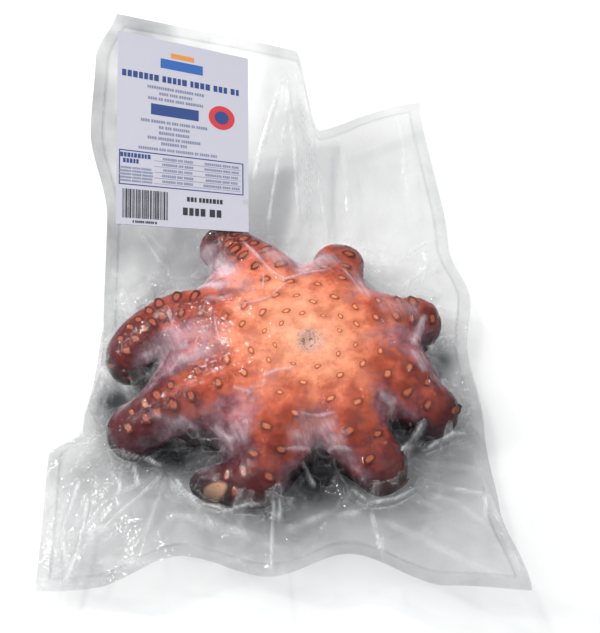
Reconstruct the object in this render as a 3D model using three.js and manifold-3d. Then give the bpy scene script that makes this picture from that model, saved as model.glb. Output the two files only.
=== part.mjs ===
// Whole cooked octopus, frozen and vacuum-packed in a clear pouch that carries a paper label.
// Millimetres, +Z up. The origin is on the flat underside, straight below the mouth.
// +X is the right-hand side of the pouch and -Y its near end; the label is on the far left flap.
// The film lies tight on the food, so pouch and octopus are one solid; the label is a second one.
import * as THREE from "three";
import { mergeVertices } from "three/addons/utils/BufferGeometryUtils.js";
import Module from "manifold-3d";

const wasm = await Module();
wasm.setup();
const { degToRad, lerp, radToDeg, smoothstep } = THREE.MathUtils;

// ---------- driving dimensions ----------
const CROWN = { height: 56, tuck: 0.88, rim: 9 }; // below the rim it tucks in
const MOUTH = { radius: 8, depth: 2.5 };
const ARM = { root: 26, end: 19.5, tip: 8, flatness: 0.88 }; // radii, and section height over width
// The largest sucker. rim is how wide its top is as a share of its foot.
const SUCKER = { across: 9, along: 5.4, height: 1.2, sunk: 1.5, dish: 0.7, rim: 0.8, sides: 6 };
const FILM_THICKNESS = 1;
const SEAM_HEIGHT = 13; // where the two films meet round the food
const LABEL = { width: 102, height: 152, thickness: 0.4, gap: 0.5, x: -96, y: 180, turn: 1 };
const SEED = 7; // of the draws that make an arm uneven: the first arm's, one more for each arm after it

// Each arm leaves the mouth at one heading and ends at another, in degrees from +X; turn is the share
// of the way out at which it starts to turn. reach is the plan distance from the mouth to the outside
// of its curled end, tip the share of that way at which its thin tip stops, and curl how far the tip
// swings to the right of the arm's own line. spacing stretches the steps from sucker to sucker.
// web is the plan distance from the mouth to the edge of the skin between it and the next arm.
const ARMS = [
  { start: 33, end: 25, turn: 0.5, reach: 110, curl: 14, tip: 0.84, web: 82, webHeading: 53, spacing: 0.7 },
  { start: 74, end: 76, turn: 0.5, reach: 115, curl: 0, tip: 0.84, web: 84, webHeading: 99, spacing: 0.9 },
  { start: 112, end: 121, turn: 0.5, reach: 148, curl: 0, tip: 0.84, web: 108, webHeading: 139, spacing: 0.85 },
  { start: 154, end: 178, turn: 0.72, reach: 150, curl: -20, tip: 0.9, web: 110, webHeading: 178, spacing: 0.85 },
  { start: 201, end: 204, turn: 0.5, reach: 157, curl: 6, tip: 0.84, web: 92, webHeading: 221, spacing: 1 },
  { start: 253, end: 249, turn: 0.5, reach: 118, curl: 47, tip: 1.15, web: 70, webHeading: 276, spacing: 1.1 },
  { start: 297, end: 301, turn: 0.5, reach: 118, curl: 0, tip: 0.84, web: 76, webHeading: 322, spacing: 1.1 },
  { start: 343, end: 336, turn: 0.5, reach: 116, curl: 12, tip: 0.84, web: 86, webHeading: 372, spacing: 0.9 },
];

// ---------- helpers ----------
const MERGE_DISTANCE = 0.001;
const SLIVER = 0.03; // thinnest triangle that a cut may leave

function toSolid(geometry) {
  const bare = geometry.clone();
  bare.deleteAttribute("normal");
  bare.deleteAttribute("uv");
  const merged = mergeVertices(bare, MERGE_DISTANCE);
  return new wasm.Manifold(
    new wasm.Mesh({
      numProp: 3,
      vertProperties: merged.attributes.position.array,
      triVerts: new Uint32Array(merged.index.array),
    }),
  );
}

function toGeometry(solid) {
  const mesh = solid.getMesh();
  const geometry = new THREE.BufferGeometry();
  geometry.setAttribute("position", new THREE.BufferAttribute(mesh.vertProperties, mesh.numProp));
  geometry.setIndex(new THREE.BufferAttribute(mesh.triVerts, 1));
  geometry.computeVertexNormals();
  return geometry;
}

// The outside of a solid alone: hollows shut in between its limbs are filled, and a scrap that only
// touches it is dropped.
function outerShell(solid) {
  return solid.decompose().reduce((a, b) => (b.volume() > a.volume() ? b : a));
}

function moveVertices(geometry, place) {
  const position = geometry.attributes.position;
  const point = new THREE.Vector3();
  for (let i = 0; i < position.count; i += 1) {
    point.fromBufferAttribute(position, i);
    const moved = place(point);
    position.setXYZ(i, moved.x, moved.y, moved.z);
  }
  return geometry;
}

// Value at a place between knots [place, value], eased from knot to knot.
function eased(knots, at) {
  const next = knots.findIndex(([place]) => place >= at);
  if (next === 0) return knots[0][1];
  if (next === -1) return knots[knots.length - 1][1];
  const [from, low] = knots[next - 1];
  const [to, high] = knots[next];
  return lerp(low, high, smoothstep(at, from, to));
}

// ---------- the crown: the skin that drapes from the mouth and joins the arms ----------
const WEB_REACH_AT_ARM = 0.9; // how far along an arm its skin runs, as a share of the arm's reach
// How the skin falls outwards: 1 slopes evenly, 0.5 stays high and then drops. Knots of [reach, bulge].
const ARM_BULGE = [[100, 0.62], [135, 0.84]];
const WEB_BULGE = 0.5;
const FIRST_SLOPE = 0.13; // share of the fall at the first ring outside the mouth
const CROWN_MESH = { around: 60, mouthRings: 3, slopeRings: 9 };

const webKnots = [];
const bulgeKnots = [];
for (const arm of ARMS) {
  const middle = (arm.start + arm.end) / 2;
  const skinReach = WEB_REACH_AT_ARM * arm.reach;
  webKnots.push([middle, skinReach], [arm.webHeading, arm.web]);
  bulgeKnots.push([middle, eased(ARM_BULGE, skinReach)], [arm.webHeading, WEB_BULGE]);
}
for (const knots of [webKnots, bulgeKnots]) {
  const [heading, value] = knots[knots.length - 1];
  knots.unshift([heading - 360, value]);
}

// Value at a heading in radians, between knots of [degrees, value] that go once round the mouth.
function roundTheMouth(knots, heading) {
  const first = knots[0][0];
  return eased(knots, first + ((radToDeg(heading) - first + 720) % 360));
}

// Height of an arm's crest at a share of its reach.
function crestHeight(share) {
  return CROWN.height * Math.sqrt(1 - Math.pow(share, 2.4));
}

// Plan distance and height of a ring of the crown, counted from the mouth outwards.
function crownRing(ring, heading) {
  const { mouthRings, slopeRings } = CROWN_MESH;
  if (ring <= mouthRings) {
    const share = ring / (mouthRings - 1);
    return [share * MOUTH.radius, CROWN.height - MOUTH.depth * (1 - smoothstep(share, 0, 1))];
  }
  const fall = lerp(FIRST_SLOPE, 1, (ring - mouthRings - 1) / (slopeRings - 1)) * (Math.PI / 2);
  const reach = roundTheMouth(webKnots, heading);
  const height = CROWN.rim + (CROWN.height - CROWN.rim) * Math.cos(fall);
  return [reach * Math.sin(fall) ** roundTheMouth(bulgeKnots, heading), height];
}

function crown() {
  const last = CROWN_MESH.mouthRings + CROWN_MESH.slopeRings;
  const profile = [new THREE.Vector2(0, -CROWN.rim), new THREE.Vector2(last, -CROWN.rim)];
  for (let ring = last; ring >= 0; ring -= 1) profile.push(new THREE.Vector2(ring, 0));
  const rings = new THREE.LatheGeometry(profile, CROWN_MESH.around).rotateX(Math.PI / 2);
  return moveVertices(rings, (point) => {
    const ring = Math.round(Math.hypot(point.x, point.y));
    const heading = Math.atan2(point.y, point.x);
    const [distance, height] = crownRing(ring, heading);
    const below = point.z < -CROWN.rim / 2;
    const radius = ring === 0 ? 0 : distance * (below ? CROWN.tuck : 1);
    const up = below ? point.z : height;
    return new THREE.Vector3(radius * Math.cos(heading), radius * Math.sin(heading), up);
  });
}

// ---------- arms ----------
// Stations: share of the way to the end's centre, height of the centre, radius.
const ARM_STATIONS = [
  { out: 0.1, up: 0.5 * CROWN.height, radius: 0.8 * ARM.root },
  { out: 0.34, up: crestHeight(0.3) - 0.96 * ARM.root, radius: ARM.root },
  { out: 0.6, up: crestHeight(0.52) - 0.8 * ARM.root, radius: 0.94 * ARM.root },
  { out: 0.83, up: crestHeight(0.72) - 0.68 * ARM.root, radius: 0.82 * ARM.root },
  { out: 1, up: ARM.end, radius: ARM.end },
  { out: 1, up: 0.55 * ARM.end, radius: 0.75 * ARM.end, swing: 0.5 },
  { out: 1, up: 0.45 * ARM.end, radius: ARM.tip, swing: 1 },
];
const HOOK = 1.25; // power by which the curled stretch nears the share at which the tip stops
const TURNED = 1.05; // share of the way at which an arm would be all turned to its end heading
const ARM_MESH = { sides: 10, steps: 14 };

// Points down an arm's centre line, with the vectors across it (side) and to its suckers (oral).
function armFrames(arm, steps) {
  const span = arm.reach - ARM.end;
  const centres = ARM_STATIONS.map(({ out, up, swing = 0 }) => {
    const share = out + (arm.tip - 1) * swing ** HOOK;
    const heading = degToRad(lerp(arm.start, arm.end, smoothstep(share, arm.turn, TURNED)));
    const across = swing * arm.curl;
    return new THREE.Vector3(
      span * share * Math.cos(heading) + across * Math.sin(heading),
      span * share * Math.sin(heading) - across * Math.cos(heading),
      up,
    );
  });
  const curve = new THREE.CatmullRomCurve3(centres);
  const first = degToRad(arm.start);
  const side = new THREE.Vector3(Math.sin(first), -Math.cos(first), 0);
  const frames = [];
  for (let i = 0; i <= steps; i += 1) {
    const tangent = curve.getTangent(i / steps);
    side.addScaledVector(tangent, -side.dot(tangent)).normalize();
    const place = (i / steps) * (ARM_STATIONS.length - 1);
    const k = Math.min(ARM_STATIONS.length - 2, Math.floor(place));
    frames.push({
      centre: curve.getPoint(i / steps),
      side: side.clone(),
      oral: new THREE.Vector3().crossVectors(side, tangent).normalize(),
      radius: lerp(ARM_STATIONS[k].radius, ARM_STATIONS[k + 1].radius, place - k),
    });
  }
  return frames;
}

function armTube(arm) {
  const { sides, steps } = ARM_MESH;
  const frames = armFrames(arm, steps);
  const tube = new THREE.CylinderGeometry(1, 1, steps, sides, steps);
  return moveVertices(tube, (point) => {
    const frame = frames[Math.round(point.y + steps / 2)];
    return frame.centre
      .clone()
      .addScaledVector(frame.side, point.x * frame.radius)
      .addScaledVector(frame.oral, point.z * frame.radius * ARM.flatness);
  });
}

// ---------- suckers: two staggered rows down the oral side of each arm ----------
// Knots of [distance from the mouth, value], in mm.
const SUCKER_STEP = [[14, 6.5], [50, 8.5], [78, 9], [105, 6], [130, 4.6]]; // row to row
const SUCKER_SCALE = [[14, 0.4], [45, 0.65], [72, 0.97], [105, 1], [135, 0.75]];
const SUCKER_ROW = [[14, 4], [50, 7.5], [90, 7.5], [125, 5]]; // from the arm's middle to a row
const SMALLEST_SUCKER = 0.5; // scale under which a sucker is too fine for this model
const LAST_SUCKER = 0.74; // share of the arm's length; the rest is curled under
const SPREAD = { size: [0.85, 1.1], step: [0.85, 1.15] }; // ranges that are drawn from
const WALK_STEPS = 120;
const RAY_START = 90;

function seededDraw(seed) {
  let state = seed;
  return () => {
    state = (state * 16807) % 2147483647;
    return state / 2147483647;
  };
}

function sucker(scale) {
  const { across, along, height, sunk, dish, rim, sides } = SUCKER;
  const foot = 0.5;
  const profile = [
    new THREE.Vector2(0, -sunk),
    new THREE.Vector2(foot, -sunk),
    new THREE.Vector2(foot * rim, height),
    new THREE.Vector2(0, height - dish),
  ];
  const cup = new THREE.LatheGeometry(profile, sides);
  return cup.scale(across * scale, lerp(scale, 1, 0.5), along * scale);
}

function suckersOn(arm, food, draw) {
  const frames = armFrames(arm, WALK_STEPS);
  const ray = new THREE.Raycaster();
  const cups = [];
  let count = 0;
  let walked = Math.hypot(frames[0].centre.x, frames[0].centre.y);
  let next = SUCKER_STEP[0][0] + 3 * draw();
  for (let i = 1; i < LAST_SUCKER * WALK_STEPS; i += 1) {
    const { centre, side, oral } = frames[i];
    walked += centre.distanceTo(frames[i - 1].centre);
    if (walked < next) continue;
    const row = count % 2 === 0 ? 1 : -1;
    const offset = row * eased(SUCKER_ROW, next) + draw() - 0.5;
    const start = centre.clone().addScaledVector(side, offset).addScaledVector(oral, RAY_START);
    ray.set(start, oral.clone().negate());
    const [hit] = ray.intersectObject(food);
    const up = hit.face.normal.clone().lerp(oral, 0.5).normalize();
    const across = side.clone().addScaledVector(up, -side.dot(up)).normalize();
    const along = new THREE.Vector3().crossVectors(across, up);
    const scale = eased(SUCKER_SCALE, next) * lerp(...SPREAD.size, draw());
    const cup = sucker(scale);
    cup.applyMatrix4(new THREE.Matrix4().makeBasis(across, up, along).setPosition(hit.point));
    if (scale > SMALLEST_SUCKER) cups.push(toSolid(cup));
    count += 1;
    next += arm.spacing * eased(SUCKER_STEP, next) * lerp(...SPREAD.step, draw());
  }
  return cups;
}

// ---------- the pouch: two films sealed together round the food ----------
const POUCH = { near: -178, far: 290, left: -166, right: 94 };
// Knots of [y, x] down the left and right edges, and of [x, y] along the near and far ones.
const EDGE_LEFT = [
  [-178, -181], [-76, -182], [-52, -160], [0, -153], [110, -151], [172, -165], [225, -163], [270, -148],
];
const EDGE_RIGHT = [[-178, 144], [-113, 129], [-49, 124], [20, 117], [65, 122], [111, 108], [260, 93]];
const EDGE_NEAR = [[-182, -172], [-140, -174], [-85, -153], [-26, -168], [25, -151], [90, -174], [149, -178]];
// The raised left flap drops at a fold to the flat right one.
const FLAP = { rise: 119, fall: 0.82, flatRise: 9, root: 40, bend: 0.8 };
const FAR_EDGE = { left: 265, middle: 272, fold: 228, right: 260 };
const FOLD = { x: 0, width: 20, from: 0.6, to: 0.75 }; // from and to are shares of the columns
const SHEET_MESH = { columns: 17, rows: 20 };
const RIPPLE = { height: 1.7, x: 21, y: 17, slant: 40 };
const TAUT = { from: 60, to: 100 }; // y over which the ripples of the raised flap die out
// The near flap stands off the floor by rise more than the seam, from one -y to the other, and less
// so at its left corner.
const NEAR_FLAP = { rise: 14, from: 70, to: 172, corner: -182, inside: -110 };

function pastFold(x) {
  return smoothstep(x, FOLD.x - FOLD.width / 2, FOLD.x + FOLD.width / 2);
}

function farEdge(x) {
  const left = lerp(FAR_EDGE.left, FAR_EDGE.middle, smoothstep(x, POUCH.left, FOLD.x));
  const right = lerp(FAR_EDGE.fold, FAR_EDGE.right, smoothstep(x, FOLD.x, POUCH.right));
  return lerp(left, right, pastFold(x));
}

// Height of the middle of the sealed flap at a plan point.
function flapHeight(x, y) {
  const raised = 1 - pastFold(x);
  const share = Math.pow(Math.max(0, (y - FLAP.root) / (POUCH.far - FLAP.root)), FLAP.bend);
  const across = (x - POUCH.left) / (POUCH.right - POUCH.left);
  const lift = share * lerp(FLAP.flatRise, FLAP.rise * (1 - FLAP.fall * across), raised);
  const loose = 1 - smoothstep(y, TAUT.from, TAUT.to) * raised;
  const wave = 1 + Math.sin(x / RIPPLE.x + y / RIPPLE.slant) * Math.sin(y / RIPPLE.y);
  const { rise, from, to, corner, inside } = NEAR_FLAP;
  const near = rise * smoothstep(-y, from, to) * smoothstep(x, corner, inside);
  return SEAM_HEIGHT + RIPPLE.height * wave * loose + lift + near;
}

// Columns are closer together at the fold.
function sheetX(share, left, right) {
  const low = FOLD.x - FOLD.width / 2;
  const high = FOLD.x + FOLD.width / 2;
  if (share < FOLD.from) return lerp(left, low, share / FOLD.from);
  if (share < FOLD.to) return lerp(low, high, (share - FOLD.from) / (FOLD.to - FOLD.from));
  return lerp(high, right, (share - FOLD.to) / (1 - FOLD.to));
}

function pouch() {
  const { columns, rows } = SHEET_MESH;
  const sheet = new THREE.BoxGeometry(1, 1, FILM_THICKNESS, columns, rows, 1);
  return moveVertices(sheet, (point) => {
    const across = point.x + 0.5;
    const guess = lerp(POUCH.near, farEdge(sheetX(across, POUCH.left, POUCH.right)), point.y + 0.5);
    const x = sheetX(across, eased(EDGE_LEFT, guess), eased(EDGE_RIGHT, guess));
    const y = lerp(eased(EDGE_NEAR, x), farEdge(x), point.y + 0.5);
    return new THREE.Vector3(x, y, flapHeight(x, y) + point.z);
  });
}

// ---------- the label, stuck on the raised flap ----------
const LABEL_MESH = { columns: 8, rows: 10 };

function label() {
  const { width, height, thickness, gap, x, y } = LABEL;
  const { columns, rows } = LABEL_MESH;
  const paper = new THREE.BoxGeometry(width, height, thickness, columns, rows, 1);
  const turn = degToRad(LABEL.turn);
  const rise = flapHeight(x, y + height / 2) - flapHeight(x, y - height / 2);
  const fall = flapHeight(x - width / 2, y) - flapHeight(x + width / 2, y);
  const across = Math.cos(Math.atan2(fall, width));
  const up = Math.cos(Math.atan2(rise, height));
  return moveVertices(paper, (point) => {
    const a = point.x * across;
    const b = point.y * up;
    const px = x + a * Math.cos(turn) - b * Math.sin(turn);
    const py = y + a * Math.sin(turn) + b * Math.cos(turn);
    const surface = flapHeight(px, py) + FILM_THICKNESS / 2 + gap;
    return new THREE.Vector3(px, py, surface + thickness / 2 + point.z);
  });
}

// ---------- assembly ----------
const FLOOR = { width: 600, length: 700, depth: 100 }; // the block that cuts the underside flat
const group = new THREE.Group();

function addMesh(name, geometry, color, roughness) {
  const mesh = new THREE.Mesh(geometry, new THREE.MeshStandardMaterial({ color, roughness, metalness: 0 }));
  mesh.name = name;
  group.add(mesh);
}

const floor = new THREE.BoxGeometry(FLOOR.width, FLOOR.length, FLOOR.depth).translate(0, 0, -FLOOR.depth / 2);
const food = ARMS.reduce((joined, arm) => joined.add(toSolid(armTube(arm))), toSolid(crown()));
const foodMesh = new THREE.Mesh(toGeometry(food));
const suckers = ARMS.flatMap((arm, index) => suckersOn(arm, foodMesh, seededDraw(SEED + index)));
const octopus = suckers.reduce((joined, cup) => joined.add(cup), food);
const joined = outerShell(octopus.add(toSolid(pouch())).subtract(toSolid(floor)).simplify(SLIVER));
const pack = outerShell(toSolid(toGeometry(joined)));
addMesh("vacuum_pack", toGeometry(pack), 0xb8603f, 0.35);
addMesh("label", label(), 0xe9e6ee, 0.7);

export default group;
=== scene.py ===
"""Whole cooked octopus, vacuum-packed in a clear pouch with a paper label on its raised far flap."""
import math
import random

import bmesh
import bpy
import numpy as np
from mathutils import Matrix, Vector, noise
from mathutils.bvhtree import BVHTree
from mathutils.kdtree import KDTree


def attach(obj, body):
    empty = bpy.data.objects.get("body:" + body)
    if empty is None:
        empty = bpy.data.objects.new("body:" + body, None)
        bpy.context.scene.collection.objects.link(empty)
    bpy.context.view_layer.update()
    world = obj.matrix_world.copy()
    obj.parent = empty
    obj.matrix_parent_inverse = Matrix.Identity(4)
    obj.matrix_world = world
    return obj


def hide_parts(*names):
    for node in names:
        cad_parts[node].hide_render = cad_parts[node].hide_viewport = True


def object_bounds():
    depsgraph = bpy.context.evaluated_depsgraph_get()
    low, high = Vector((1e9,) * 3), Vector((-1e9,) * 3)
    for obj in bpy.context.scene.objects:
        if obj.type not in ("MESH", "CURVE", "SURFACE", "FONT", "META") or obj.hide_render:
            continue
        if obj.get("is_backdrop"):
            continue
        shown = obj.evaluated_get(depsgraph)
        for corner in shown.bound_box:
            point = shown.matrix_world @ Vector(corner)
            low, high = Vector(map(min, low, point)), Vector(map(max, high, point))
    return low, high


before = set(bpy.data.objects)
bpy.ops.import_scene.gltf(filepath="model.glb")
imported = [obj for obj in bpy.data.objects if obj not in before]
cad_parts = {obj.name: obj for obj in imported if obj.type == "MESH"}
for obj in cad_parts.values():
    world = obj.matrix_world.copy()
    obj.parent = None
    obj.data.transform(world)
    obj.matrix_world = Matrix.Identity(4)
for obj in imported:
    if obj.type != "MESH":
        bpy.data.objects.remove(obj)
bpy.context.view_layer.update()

# ---------- studio ----------
# A pale seamless paper sweep, small lamps behind, at the left and at the right for crisp glints on the
# film, a bank of light at the left and a big soft box overhead.
# The camera looks down at the mouth from the near side.
PICTURE = (600, 633)  # px
MOUTH_PIXEL = (309, 340)
MOUTH_HEIGHT = 0.056
CAMERA = {"lens": 80.76, "sensor": 36, "distance": 1.0, "elevation": 55}  # mm, mm, m, degrees
SOFT_BOXES = [  # name, where it stands, its size in metres, its power in watts and its colour
    ("back_key", (-0.56, 0.8, 1.1), 0.1, 7, "#FFFDF8"),
    ("left_key", (-1.17, 0.1, 0.8), 0.1, 5, "#FFFFFF"),
    ("left_bank", (-0.9, 0.2, 1.15), 0.8, 8, "#FFFFFF"),
    ("right_glint", (0.9, 0.75, 0.9), 0.08, 2, "#FFFFFF"),
    ("top_fill", (0.5, -0.1, 1.5), 1.2, 3.5, "#FBFCFF"),
]
AIR = {"tint": "#F6F8FA", "strength": 0.52}  # the light from all round


def tone(hex_code):
    """An sRGB hex colour as linear RGBA."""
    channels = [int(hex_code[i : i + 2], 16) / 255 for i in (1, 3, 5)]
    return [c / 12.92 if c <= 0.04045 else ((c + 0.055) / 1.055) ** 2.4 for c in channels] + [1]


def new_material(name):
    material = bpy.data.materials.new(name)
    material.use_nodes = True
    material.node_tree.nodes.clear()
    return material


def add_node(material, kind, settings=None):
    """A shader node with its settings, by socket or property; a node or socket given as one is linked in.

    A mix of colours has its share at socket 0 and its colours at 6 and 7.
    """
    node = material.node_tree.nodes.new("ShaderNode" + kind)
    for key, value in (settings or {}).items():
        if isinstance(value, bpy.types.Node):
            value = next(socket for socket in value.outputs if socket.enabled)
        if isinstance(value, bpy.types.NodeSocket):
            material.node_tree.links.new(value, node.inputs[key])
        elif key == "stops":
            ramp = node.color_ramp.elements
            while len(ramp) < len(value):
                ramp.new(0.5)
            for stop, (place, colour) in zip(ramp, value):
                stop.position = place
                stop.color = tone(colour)
        elif key in ("From", "To"):
            node.inputs[key + " Min"].default_value, node.inputs[key + " Max"].default_value = value
        elif isinstance(key, int) or key in node.inputs:
            node.inputs[key].default_value = value
        else:
            setattr(node, key, value)
    return node


def mesh_from(bm, name):
    """The mesh of a bmesh that is done with."""
    mesh = bpy.data.meshes.new(name)
    bm.to_mesh(mesh)
    bm.free()
    return mesh


def placed(name, data):
    """A new object in the scene."""
    thing = bpy.data.objects.new(name, data)
    bpy.context.collection.objects.link(thing)
    return thing


# Seamless paper: matt, with the faint mottle of its pulp.
paper = new_material("seamless_background_paper")
pulp = add_node(paper, "TexNoise", {"Scale": 60, "Detail": 4})
pulp_tone = add_node(paper, "ValToRGB", {"stops": [(0.3, "#F4F4F4"), (0.7, "#F8F8F8")], "Fac": pulp})
sweep = add_node(paper, "BsdfPrincipled", {"Roughness": 0.9, "Base Color": pulp_tone})
add_node(paper, "OutputMaterial", {"Surface": sweep})

bm = bmesh.new()
bmesh.ops.create_grid(bm, x_segments=1, y_segments=1, size=4)
floor = placed("floor", mesh_from(bm, "floor"))
floor.data.materials.append(paper)
floor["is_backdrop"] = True

for name, at, size, watts, tint in SOFT_BOXES:
    lamp = bpy.data.lights.new(name, "AREA")
    lamp.shape = "RECTANGLE"
    lamp.size = lamp.size_y = size
    lamp.energy = watts
    lamp.color = tone(tint)[:3]
    stand = placed(name, lamp)
    stand.location = at
    stand.rotation_euler = (-Vector(at)).to_track_quat("-Z", "Y").to_euler()

world = bpy.data.worlds.new("studio_air")
world.use_nodes = True
air = world.node_tree.nodes["Background"]
air.inputs["Color"].default_value = tone(AIR["tint"])
air.inputs["Strength"].default_value = AIR["strength"]
bpy.context.scene.world = world
bpy.context.scene.view_settings.view_transform = "Standard"

lens = bpy.data.cameras.new("camera")
lens.lens = CAMERA["lens"]
lens.sensor_width = CAMERA["sensor"]
down = math.radians(CAMERA["elevation"])
forward = Vector((0, math.cos(down), -math.sin(down)))
upward = Vector((0, math.sin(down), math.cos(down)))
focal_pixels = CAMERA["lens"] / CAMERA["sensor"] * max(PICTURE)
right_of_centre = (MOUTH_PIXEL[0] - PICTURE[0] / 2) * CAMERA["distance"] / focal_pixels
above_centre = (PICTURE[1] / 2 - MOUTH_PIXEL[1]) * CAMERA["distance"] / focal_pixels
camera = placed("camera", lens)
camera.location = (
    Vector((0, 0, MOUTH_HEIGHT))
    - CAMERA["distance"] * forward
    - right_of_centre * Vector((1, 0, 0))
    - above_centre * upward
)
camera.rotation_euler = (math.radians(90) - down, 0, 0)
bpy.context.scene.camera = camera

# ---------- octopus: the skin of its crown and arms ----------
# Cooked flesh, cured tight by boiling: one skin from the mouth over the web and down eight arms.
# A domed crown and eight tapered sweeps are fused by a voxel remesh, then smoothed and roughened.
# The shapes are worked out in millimetres and scaled to metres when the piece is finished.
MM = 0.001
CROWN = {"height": 56, "rim": 9, "tuck": 0.94, "under": 1.2, "top": 12}
MOUTH = {"radius": 8, "depth": 2.5, "lip": 6, "lip_width": 4, "puckers": 17, "pucker": 0.45}
ARM = {"root": 26, "end": 19.5, "tip": 8, "flatness": 0.88}
# Headings in degrees from +X; reach, curl and web in mm; turn and tip as shares of the way out; pale is how
# much further out than on other arms the pale flesh runs; spacing is that of its suckers, as a share.
ARM_TRAITS = ("start", "end", "turn", "reach", "curl", "tip", "web", "web_heading", "pale", "spacing")
ARMS = [dict(zip(ARM_TRAITS, traits)) for traits in (
    (33, 25, 0.5, 110, 14, 0.84, 82, 53, 1.12, 0.7),
    (74, 76, 0.5, 115, 0, 0.84, 84, 99, 1.22, 0.9),
    (112, 121, 0.5, 148, 0, 0.84, 108, 139, 1.3, 0.85),
    (154, 178, 0.72, 150, -20, 0.9, 110, 178, 1.04, 0.85),
    (201, 204, 0.5, 157, 6, 0.84, 92, 221, 0.84, 1.0),
    (253, 249, 0.5, 118, 47, 1.15, 70, 276, 0.97, 1.1),
    (297, 301, 0.5, 118, 0, 0.84, 76, 322, 1.0, 1.1),
    (343, 336, 0.5, 116, 12, 0.84, 86, 372, 1.0, 0.9),
)]
WEB_REACH_AT_ARM = 0.9  # how far along an arm its skin runs
# How the skin falls outwards, at headings in degrees: 1 slopes evenly, 0.5 stays high, then drops.
ARM_BULGE = [(100, 0.62), (135, 0.84)]
WEB_BULGE = 0.5
BASE_HEIGHT = 0.8  # the underside's flat, clear of the film below it
SKIN_VOXEL = 1.5
SKIN_SOFTENING = 10  # rounds
LUMPS = [(16, 0.9), (6, 0.5), (2.2, 0.2)]  # how far apart they lie and how high they are
# Where the curled arm's skin is rubbed off, down to the yellow flesh; no sucker sits nearer than clear.
BARE_PATCH = {"x": -65, "y": -99, "across": 9, "along": 5, "clear": 9}


def lerp(low, high, share):
    return low + (high - low) * share


def smoothstep(value, low, high):
    share = np.clip((value - low) / (high - low), 0, 1)
    return share * share * (3 - 2 * share)


def eased(knots, at):
    """Value at a place, or at an array of places, between knots of (place, value)."""
    places, values = np.array(knots, float).T
    k = np.clip(np.searchsorted(places, at, side="left") - 1, 0, len(places) - 2)
    return lerp(values[k], values[k + 1], smoothstep(at, places[k], places[k + 1]))


web_knots, bulge_knots, reach_knots = [], [], []
for arm in ARMS:
    middle, skin_reach = (arm["start"] + arm["end"]) / 2, WEB_REACH_AT_ARM * arm["reach"]
    reach_knots.append((middle, arm["pale"] * arm["reach"]))
    web_knots += [(middle, skin_reach), (arm["web_heading"], arm["web"])]
    bulge_knots += [(middle, float(eased(ARM_BULGE, skin_reach))), (arm["web_heading"], WEB_BULGE)]
for knots in (web_knots, bulge_knots, reach_knots):
    knots.insert(0, (knots[-1][0] - 360, knots[-1][1]))


def round_the_mouth(knots, heading):
    """Value at headings in radians, between knots of (degrees, value) that go once round."""
    first = knots[0][0]
    return eased(knots, first + (np.degrees(heading) - first) % 360)


def crest_height(share):
    """Height of an arm's crest at a share of its reach."""
    return CROWN["height"] * math.sqrt(1 - share**2.4)


def crown_point(unit):
    """Where a point of a unit sphere goes on the crown, with the lower half as its flat underside."""
    heading = math.atan2(unit.y, unit.x)
    slope = math.acos(max(-1, min(1, unit.z)))
    reach = round_the_mouth(web_knots, heading)
    if slope <= math.pi / 2:
        distance = reach * math.sin(slope) ** round_the_mouth(bulge_knots, heading)
        height = CROWN["rim"] + (CROWN["height"] - CROWN["rim"]) * math.cos(slope)
    else:
        distance = reach * lerp(1, CROWN["tuck"], -unit.z) * math.sin(slope)
        height = CROWN["rim"] * (1 - CROWN["under"] * math.sin(slope - math.pi / 2))
    return Vector((float(distance * math.cos(heading)), float(distance * math.sin(heading)), height))


ARM_STATIONS = [  # share of the way out to the end's centre, height of the centre, radius, swing
    (0.1, 0.5 * CROWN["height"], 0.8 * ARM["root"], 0),
    (0.34, crest_height(0.3) - 0.96 * ARM["root"], ARM["root"], 0),
    (0.6, crest_height(0.52) - 0.8 * ARM["root"], 0.94 * ARM["root"], 0),
    (0.83, crest_height(0.72) - 0.68 * ARM["root"], 0.82 * ARM["root"], 0),
    (1.0, 1.0 * ARM["end"], ARM["end"], 0),
    (1.0, 0.55 * ARM["end"], 0.75 * ARM["end"], 0.5),
    (1.0, 0.45 * ARM["end"], ARM["tip"], 1),
]
HOOK = 1.25  # power by which the curled stretch nears the share at which the arm's tip stops
TURNED = 1.05  # share of the way at which an arm would be all turned to its end heading


def curve_point(points, share):
    """A point on the smooth centripetal curve through the points."""
    place = share * (len(points) - 1)
    k = min(int(place), len(points) - 2)
    before = points[k - 1] if k > 0 else 2 * points[0] - points[1]
    after = points[k + 2] if k + 2 < len(points) else 2 * points[-1] - points[-2]
    start, stop = points[k], points[k + 1]
    into, across, beyond = [
        math.sqrt((b - a).length) for a, b in ((before, start), (start, stop), (stop, after))
    ]
    leave = (start - before) / into - (stop - before) / (into + across) + (stop - start) / across
    arrive = (stop - start) / across - (after - start) / (across + beyond) + (after - stop) / beyond
    t = place - k
    return (
        start * (2 * t**3 - 3 * t**2 + 1)
        + leave * across * (t**3 - 2 * t**2 + t)
        + stop * (3 * t**2 - 2 * t**3)
        + arrive * across * (t**3 - t**2)
    )


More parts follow.
